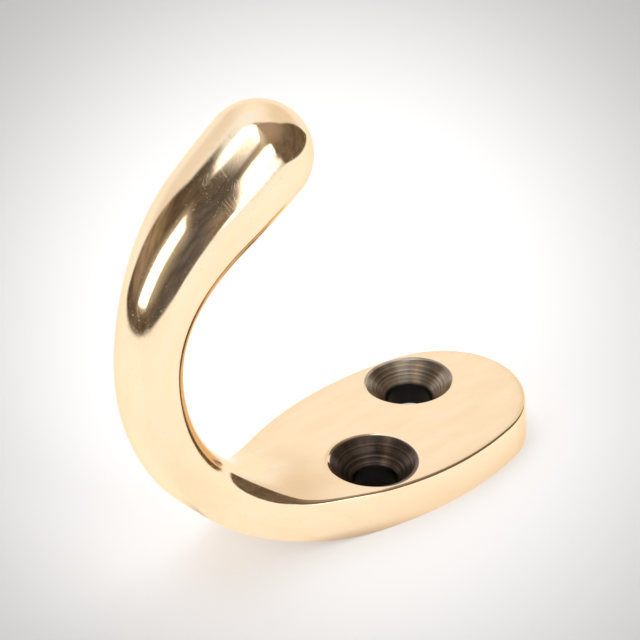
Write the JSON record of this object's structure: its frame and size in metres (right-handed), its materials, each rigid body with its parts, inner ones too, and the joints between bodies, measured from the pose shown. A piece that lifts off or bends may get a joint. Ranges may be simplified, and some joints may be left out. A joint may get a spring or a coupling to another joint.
{
  "type": "robe hook",
  "caption": "Cast bronze robe hook: an oval screw-on backplate runs into a narrowing arm that curls out and up to a swollen round tip, polished bright.",
  "frame": {"origin": "on the flat back of the plate, midway between the two screw holes", "axes": "+Z points away from the wall, +Y points up the wall from the arm to the free end of the plate, +X is to the right as seen from the room"},
  "size_m": [0.0194, 0.0491, 0.0483],
  "materials": {
    "polished_bronze": "polished bright, with dark unpolished countersinks"
  },
  "bodies": {
    "root": {"robe_hook": "polished_bronze"}
  },
  "joints": []
}
